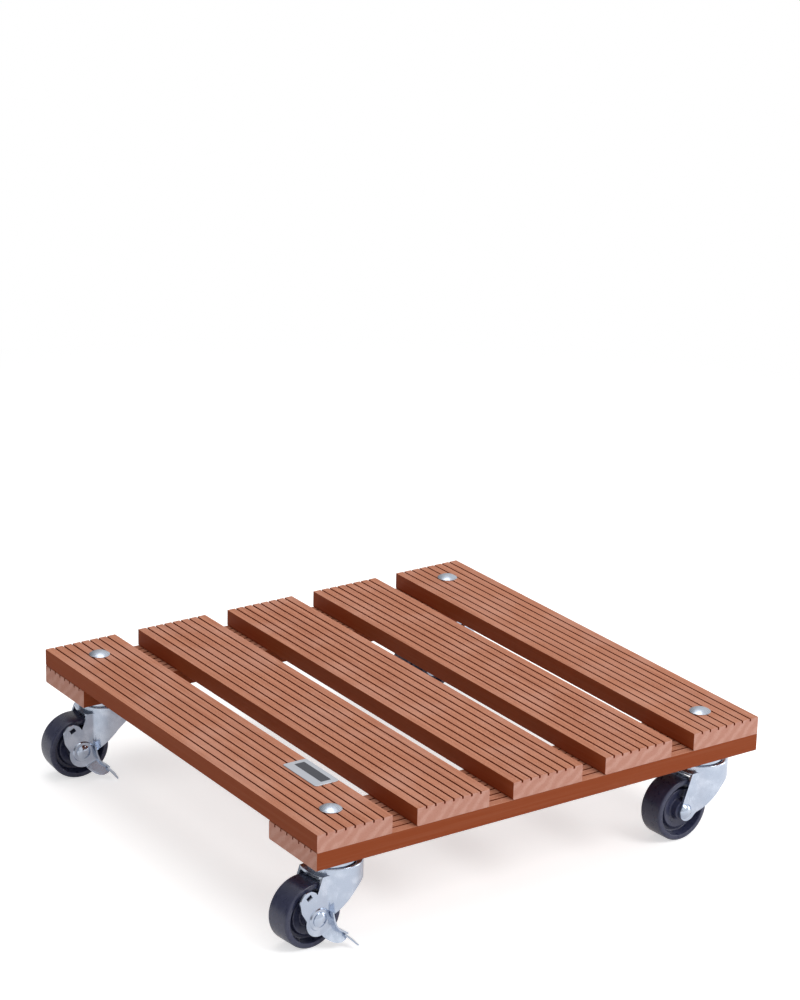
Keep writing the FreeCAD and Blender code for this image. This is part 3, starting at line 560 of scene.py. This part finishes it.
@dataclass(frozen=True)
class PaleFloorFinish:
    """The studio's plain floor: off-white with a soft shadow, and plain white further away."""

    name: str
    paint: Colour = (0.8, 0.8, 0.8)
    rough: float = 0.85
    lift: float = 0.58
    mirrored: float = 0.36
    slope: float = 0.7
    bright_side: Limits = (-1.1, 0.2)
    fade: Limits = (0.45, 1.3)

    def material(self) -> bpy.types.Material:
        """The new material, which glows a little more to the camera and in the metal."""
        sheet = NodeSheet(self.name, self.rough)
        sheet.colour(self.paint)
        sheet.specular(0.0)
        path = sheet.add("LightPath")
        seen, mirrored = path.outputs["Is Camera Ray"], path.outputs["Is Glossy Ray"]
        spot = sheet.split(sheet.place)
        bright = sheet.step(sheet.minus(spot[0], sheet.times(spot[1], self.slope)),
                            *self.bright_side)
        strength = sheet.plus(sheet.times(seen, self.lift),
                              sheet.times(mirrored, sheet.times(bright, self.mirrored)))
        glow = sheet.add("Emission", {"Strength": strength})
        lifted = sheet.add("AddShader", {0: sheet.shader.outputs[0], 1: glow.outputs[0]})
        away = sheet.add("VectorMath", {0: sheet.place}, operation="LENGTH").outputs["Value"]
        white = sheet.add("Emission")
        faded = sheet.add("MixShader", {0: sheet.times(seen, sheet.step(away, *self.fade)),
                                        1: lifted.outputs[0], 2: white.outputs[0]})
        sheet.feed(sheet.tree.nodes["Material Output"].inputs["Surface"], faded.outputs[0])
        return sheet.material


# ---- mesh tools -----------------------------------------------------------------------------


def new_piece(name: str, mesh: bmesh.types.BMesh, material: bpy.types.Material,
              sharp: float = 35.0) -> bpy.types.Object:
    """Turns a mesh into a shaded object.

    Args:
        name: The piece's name.
        mesh: The mesh, which is freed.
        material: The piece's finish.
        sharp: Edges folded by at least this many degrees stay crisp.

    Returns:
        The new object, linked to the scene.
    """
    bmesh.ops.recalc_face_normals(mesh, faces=mesh.faces)
    for face in mesh.faces:
        face.smooth = True
    for edge in mesh.edges:
        edge.smooth = len(edge.link_faces) == 2 and edge.calc_face_angle(0) < math.radians(sharp)
    data = bpy.data.meshes.new(name)
    mesh.to_mesh(data)
    mesh.free()
    data.materials.append(material)
    piece = bpy.data.objects.new(name, data)
    bpy.context.scene.collection.objects.link(piece)
    return piece


def lathe(profile: Sequence[Point], steps: int) -> bmesh.types.BMesh:
    """Turns a closed profile of (radius, height) about the Z axis.

    Args:
        profile: The outline, in metres, clear of the axis.
        steps: Divisions round the circle.

    Returns:
        The turned mesh.
    """
    mesh = bmesh.new()
    rings = [[mesh.verts.new((radius * math.cos(2 * math.pi * k / steps),
                              radius * math.sin(2 * math.pi * k / steps), height))
              for k in range(steps)] for radius, height in profile]
    for low, high in zip(rings, rings[1:] + rings[:1]):
        for k in range(steps):
            following = (k + 1) % steps
            mesh.faces.new((low[k], low[following], high[following], high[k]))
    return mesh


def rounded(points: Sequence[tuple[float, float, float]], steps: int) -> list[Point]:
    """Rounds the corners of an outline.

    Args:
        points: (x, y, radius) of each corner.
        steps: Divisions of each rounded corner.

    Returns:
        The outline's points.
    """
    outline: list[Point] = []
    for index, (x, y, radius) in enumerate(points):
        corner = Vector((x, y))
        back = (Vector(points[index - 1][:2]) - corner).normalized()
        ahead = (Vector(points[(index + 1) % len(points)][:2]) - corner).normalized()
        half = back.angle(ahead) / 2
        reach = radius / math.tan(half)
        centre = corner + (back + ahead).normalized() * (radius / math.sin(half))
        start = corner + back * reach - centre
        end = corner + ahead * reach - centre
        sweep = start.angle_signed(end)
        for step in range(steps + 1):
            turn = -sweep * step / steps
            point = centre + Matrix.Rotation(turn, 2) @ start
            outline.append((point.x, point.y))
    return outline


def rounded_box(low: Point, high: Point, radius: float, steps: int) -> list[Point]:
    """The outline of a rectangle with rounded corners, from its lowest and highest corners."""
    corners = [(low[0], low[1]), (high[0], low[1]), (high[0], high[1]), (low[0], high[1])]
    return rounded([(x, y, radius) for x, y in corners], steps)


def prism(outline: Sequence[Point], low: float, high: float) -> bmesh.types.BMesh:
    """A flat outline raised from one height to another."""
    mesh = bmesh.new()
    floor = [mesh.verts.new((x, y, low)) for x, y in outline]
    roof = [mesh.verts.new((x, y, high)) for x, y in outline]
    mesh.faces.new(list(reversed(floor)))
    mesh.faces.new(roof)
    for k in range(len(outline)):
        following = (k + 1) % len(outline)
        mesh.faces.new((floor[k], floor[following], roof[following], roof[k]))
    return mesh


@dataclass(frozen=True)
class SoftEdges:
    """Rounds a carried-over node's crisp edges a little, without changing its own mesh."""

    width: float
    weld: float = 0.002 * MM
    flat_angle: float = 0.4
    crisp_angle: float = 32.0
    segments: int = 2
    face_weight: int = 60

    def on(self, node: bpy.types.Object) -> None:
        """Adds the modifiers that weld, flatten, round and shade the node."""
        weld = node.modifiers.new("weld", "WELD")
        weld.merge_threshold = self.weld
        flat = node.modifiers.new("flat", "DECIMATE")
        flat.decimate_type = "DISSOLVE"
        flat.angle_limit = math.radians(self.flat_angle)
        bevel = node.modifiers.new("soft_edges", "BEVEL")
        bevel.width = self.width
        bevel.segments = self.segments
        bevel.limit_method = "ANGLE"
        bevel.angle_limit = math.radians(self.crisp_angle)
        bevel.harden_normals = False
        smooth = node.modifiers.new("normals", "WEIGHTED_NORMAL")
        smooth.keep_sharp = False
        smooth.weight = self.face_weight


def dress(node: bpy.types.Object, material: bpy.types.Material) -> None:
    """Gives a carried-over node its finish."""
    node.data.materials.clear()
    node.data.materials.append(material)


# ---- sub-assemblies -------------------------------------------------------------------------


@dataclass
class Deck:
    """The five slats, the two crossbars, their screws and the name plate."""

    slats: int = 5
    slat_seed: float = 1.37
    crossbar_seed: float = 9.1
    crossbar_seed_step: float = 2.3
    edge: float = 0.28 * MM
    field_width: float = 8.6 * MM
    field_length: float = 36.0 * MM
    field_shift: float = 1.6 * MM
    field_height: float = 0.05 * MM
    field_round: float = 0.5 * MM
    field_round_steps: int = 4
    plate_edge: float = 0.15 * MM
    plate_round: float = 2.0 * MM
    plate_round_steps: int = 8

    def build(self, screws: bpy.types.Material) -> None:
        """Dresses the boards and screws and makes the plate.

        Args:
            screws: The finish of the deck screws.
        """
        for number in range(1, self.slats + 1):
            self.board("slat_%d" % number, Run.ALONG_Y, number * self.slat_seed)
        for number, name in enumerate(("crossbar_front", "crossbar_rear")):
            seed = self.crossbar_seed + number * self.crossbar_seed_step
            self.board(name, Run.ALONG_X, seed)
        for name in ("deck_screws_front", "deck_screws_rear"):
            dress(frame["nodes"][name], screws)
            LOG.info("%s: dressed", name)
        self.plate()

    def board(self, name: str, run: Run, seed: float) -> None:
        """Dresses one board in decking with its own streaks."""
        low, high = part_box(name)
        node = frame["nodes"][name]
        dress(node, BoardFinish(run, low, high, seed).material("decking_" + name))
        SoftEdges(self.edge).on(node)
        LOG.info("%s: decking along %s", name, run.value)

    def plate(self) -> None:
        """Makes the name plate with softened edges and its blank dark field."""
        low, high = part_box("name_plate")
        outline = rounded_box((low.x, low.y), (high.x, high.y), self.plate_round,
                              self.plate_round_steps)
        mesh = prism(outline, low.z, high.z - self.field_height)
        plate = new_piece("plate_blank", mesh, PlateFinish("brushed_plate").material())
        bevel = plate.modifiers.new("soft_edge", "BEVEL")
        bevel.width = self.plate_edge
        bevel.segments = 2
        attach(plate, "deck")
        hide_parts("name_plate")

        middle = (low + high) / 2
        left, right = (middle.x + self.field_shift + side * self.field_width / 2
                       for side in (-1, 1))
        near, far = (middle.y + side * self.field_length / 2 for side in (-1, 1))
        outline = rounded_box((left, near), (right, far), self.field_round,
                              self.field_round_steps)
        mesh = prism(outline, high.z - 2 * self.field_height, high.z)
        panel = new_piece("plate_field", mesh, PrintedFieldFinish("blank_field").material())
        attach(panel, "deck")
        LOG.info("name plate: blank plate and field")


class Corner(Enum):
    """The four corners that carry a caster."""

    FRONT_LEFT = "front_left"
    REAR_LEFT = "rear_left"
    FRONT_RIGHT = "front_right"
    REAR_RIGHT = "rear_right"

    @property
    def braked(self) -> bool:
        """Whether the caster has a foot brake."""
        return self in (Corner.FRONT_LEFT, Corner.REAR_LEFT)


@dataclass(frozen=True)
class WheelShape:
    """The moulded wheel: a rounded tread, a groove inside the rim, a dished web and a hub."""

    radius: float = 25.0 * MM
    half_width: float = 10.5 * MM
    tread_round: float = 1.8 * MM
    rim_inside: float = 20.4 * MM
    rim_flare: float = 0.3 * MM
    rim_taper: float = 0.8 * MM
    rim_round: float = 0.7 * MM
    groove_inside: float = 15.6 * MM
    groove_floor: float = 3.2 * MM
    groove_taper: float = 0.4 * MM
    groove_round: float = 1.2 * MM
    web_face: float = 6.6 * MM
    web_round: float = 0.8 * MM
    web_dish: float = 5.4 * MM
    dish_round: float = 1.0 * MM
    hub_radius: float = 8.0 * MM
    hub_taper: float = 0.6 * MM
    hub_half: float = 11.1 * MM
    hub_round: float = 0.5 * MM
    bore: float = 4.56 * MM
    bore_round: float = 0.3 * MM
    round_steps: int = 6
    turn_steps: int = 160

    def mesh(self) -> bmesh.types.BMesh:
        """The wheel with its axis along Z and its middle at the origin."""
        upper = [
            (self.radius, self.half_width, self.tread_round),
            (self.rim_inside + self.rim_flare, self.half_width, self.rim_round),
            (self.rim_inside - self.rim_taper, self.groove_floor, self.groove_round),
            (self.groove_inside + self.groove_taper, self.groove_floor, self.groove_round),
            (self.groove_inside, self.web_face, self.web_round),
            (self.hub_radius + self.hub_taper, self.web_dish, self.dish_round),
            (self.hub_radius, self.hub_half, self.hub_round),
            (self.bore, self.hub_half, self.bore_round)]
        lower = [(x, -y, radius) for x, y, radius in reversed(upper)]
        return lathe(rounded(upper + lower, self.round_steps), self.turn_steps)


@dataclass(frozen=True)
class Finishes:
    """The metal and plastic finishes that the casters share."""

    pressing: bpy.types.Material
    fastener: bpy.types.Material
    bolt: bpy.types.Material
    bearing: bpy.types.Material
    wheel: bpy.types.Material


@dataclass
class Caster:
    """One swivel caster with its bolt, wheel and, on two corners, its brake."""

    corner: Corner
    finishes: Finishes
    edge: float = 0.22 * MM
    lever_edge: float = 0.42 * MM
    wheel_crisp: float = 50.0

    def name(self, piece: str) -> str:
        """The full name of one of this caster's pieces."""
        return "%s_%s" % (piece, self.corner.value)

    def node(self, piece: str) -> bpy.types.Object:
        """One of this caster's carried-over nodes."""
        return frame["nodes"][self.name(piece)]

    def build(self) -> None:
        """Dresses every node of the caster and makes its wheel."""
        braked = self.corner.braked
        self.pressing("swivel_cap", self.edge)
        self.pressing("fork", self.edge)
        if braked:
            self.pressing("brake_lever", self.lever_edge)
        self.dressed(["caster_bolt"], self.finishes.bolt, "ringed zinc")
        self.dressed(["caster_nut", "thrust_washer"], self.finishes.fastener, "zinc fastener")
        self.dressed(["axle_bolt", "axle_nut", "brake_cam"] if braked else ["axle_rivet"],
                     self.finishes.fastener, "zinc fastener")
        self.dressed(["swivel_balls", "wheel_sleeve"], self.finishes.bearing, "bearing steel")
        self.wheel()

    def pressing(self, piece: str, edge: float) -> None:
        """Dresses one pressing and softens its edges."""
        self.dressed([piece], self.finishes.pressing, "zinc pressing")
        SoftEdges(edge).on(self.node(piece))

    def dressed(self, pieces: Sequence[str], finish: bpy.types.Material, label: str) -> None:
        """Gives some of the caster's nodes one finish."""
        for piece in pieces:
            dress(self.node(piece), finish)
            LOG.info("%s: %s", self.name(piece), label)

    def wheel(self) -> None:
        """Turns the moulded wheel with softened edges, in the place of its plain node."""
        joint = joint_named(self.name("roll"))
        axis = Vector(joint["axis"])
        turn = Vector((0, 0, 1)).rotation_difference(axis).to_matrix().to_4x4()
        mesh = WheelShape().mesh()
        bmesh.ops.transform(mesh, verts=mesh.verts,
                            matrix=Matrix.Translation(Vector(joint["pos_m"])) @ turn)
        piece = new_piece(self.name("moulded_wheel"), mesh, self.finishes.wheel,
                          self.wheel_crisp)
        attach(piece, self.name("wheel"))
        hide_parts(self.name("wheel"))
        LOG.info("%s: moulded", self.name("wheel"))


# ---- studio ---------------------------------------------------------------------------------


@dataclass(frozen=True)
class Lamp:
    """One soft square lamp, pointed at the caddy."""

    name: str
    place: Place
    size: float
    power: float
    aim: Place = (0.0, 0.0, 0.08)

    def hang(self) -> None:
        """Makes the lamp."""
        light = bpy.data.lights.new(self.name, "AREA")
        light.size = self.size
        light.energy = self.power
        lamp = bpy.data.objects.new(self.name, light)
        lamp.location = self.place
        ray = Vector(self.aim) - Vector(self.place)
        lamp.rotation_euler = ray.to_track_quat("-Z", "Y").to_euler()
        bpy.context.scene.collection.objects.link(lamp)


@dataclass
class Studio:
    """The pale floor, the soft lamps and the camera. Angles are in degrees."""

    floor_size: float = 30.0
    ambient: float = 0.52
    shaded: float = 0.8
    mirrored_dark: float = 0.16
    bright_way: Place = (0.66, -0.45, 0.6)
    bright_fade: Limits = (-0.5, 0.5)
    lamps: tuple[Lamp, ...] = (Lamp("key_lamp", (1.0, -2.1, 2.2), 1.2, 34.0),
                               Lamp("top_lamp", (0.1, 0.3, 2.6), 1.6, 20.0),
                               Lamp("low_lamp", (1.9, -1.0, 0.42), 0.8, 7.0))
    camera_place: Place = (-1.2245, -1.7727, 0.9961)
    heading: float = -34.656
    drop: float = 19.136
    roll: float = 1.389
    lens: float = 107.6
    sensor: float = 36.0
    sight: float = 60.0

    def build(self) -> None:
        """Makes the whole studio."""
        self.floor()
        self.world()
        for lamp in self.lamps:
            lamp.hang()
        self.camera()
        LOG.info("studio: floor, world, %d lamps and camera", len(self.lamps))

    def floor(self) -> None:
        """Lays the floor under the wheels."""
        half = self.floor_size / 2
        corners = [(-half, -half), (half, -half), (half, half), (-half, half)]
        mesh = bmesh.new()
        mesh.faces.new([mesh.verts.new((x, y, 0)) for x, y in corners])
        floor = new_piece("studio_floor", mesh, PaleFloorFinish("studio_paper").material())

    def world(self) -> None:
        """Lights softly from all round, darker from the left, and shows white behind."""
        world = bpy.data.worlds.new("studio_world")
        bpy.context.scene.world = world
        world.use_nodes = True
        sky = Nodes(world.node_tree)
        path = sky.add("LightPath")
        glossy = path.outputs["Is Glossy Ray"]
        ways = sky.add("TexCoord").outputs["Generated"]
        lean = sky.add("VectorMath", {0: ways, 1: self.bright_way}, operation="DOT_PRODUCT")
        darkest = sky.spread(glossy, self.shaded, self.mirrored_dark)
        sweep = sky.step(lean.outputs["Value"], *self.bright_fade, darkest)
        lit = sky.times(sky.spread(glossy, self.ambient, 1.0), sweep)
        direct = sky.most(path.outputs["Is Camera Ray"], path.outputs["Is Transmission Ray"])
        back = sky.tree.nodes["Background"]
        sky.feed(back.inputs["Color"], (1.0, 1.0, 1.0))
        sky.feed(back.inputs["Strength"], sky.most(lit, direct))

    def camera(self) -> None:
        """Sets up the camera, level but for its slight roll."""
        lens = bpy.data.cameras.new("view")
        lens.sensor_fit = "VERTICAL"
        lens.sensor_height = self.sensor
        lens.lens = self.lens
        lens.clip_end = self.sight
        camera = bpy.data.objects.new("view", lens)
        turn = (Matrix.Rotation(math.radians(self.heading), 4, "Z")
                @ Matrix.Rotation(math.radians(90 - self.drop), 4, "X")
                @ Matrix.Rotation(math.radians(self.roll), 4, "Z"))
        camera.matrix_world = Matrix.Translation(Vector(self.camera_place)) @ turn
        bpy.context.scene.collection.objects.link(camera)
        bpy.context.scene.camera = camera
        bpy.context.scene.view_settings.view_transform = "Standard"


# ---- the whole scene ------------------------------------------------------------------------


def joint_named(name: str) -> dict:
    """One of the frame's joints."""
    return next(joint for joint in frame["joints"] if joint["name"] == name)


def swivel_inset() -> float:
    """How far each swivel axis is from the middle of the deck, along X and along Y."""
    return abs(joint_named("swivel_" + Corner.FRONT_LEFT.value)["pos_m"][0])


def shared_finishes() -> Finishes:
    """Makes the finishes that all four casters share."""
    return Finishes(
        pressing=ZincFinish("zinc_pressing").material(),
        fastener=ZincFinish("zinc_fastener", smooth=0.12, rough=0.24).material(),
        bolt=BoltHeadFinish("zinc_bolt", swivel_inset()).material(),
        bearing=ZincFinish("bearing_steel", light=srgb(200, 202, 206),
                           dull=srgb(168, 170, 176), smooth=0.1, rough=0.2).material(),
        wheel=WheelFinish("wheel_black").material())


def main() -> None:
    """Builds the caddy's looks and the studio, in order."""
    finishes = shared_finishes()
    screws = ZincFinish("screw_steel", light=srgb(208, 204, 192), dull=srgb(178, 172, 158),
                        smooth=0.22, rough=0.38).material()
    Deck().build(screws)
    for corner in Corner:
        Caster(corner, finishes).build()
    Studio().build()


if __name__ == "__main__":
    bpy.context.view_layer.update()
    main()
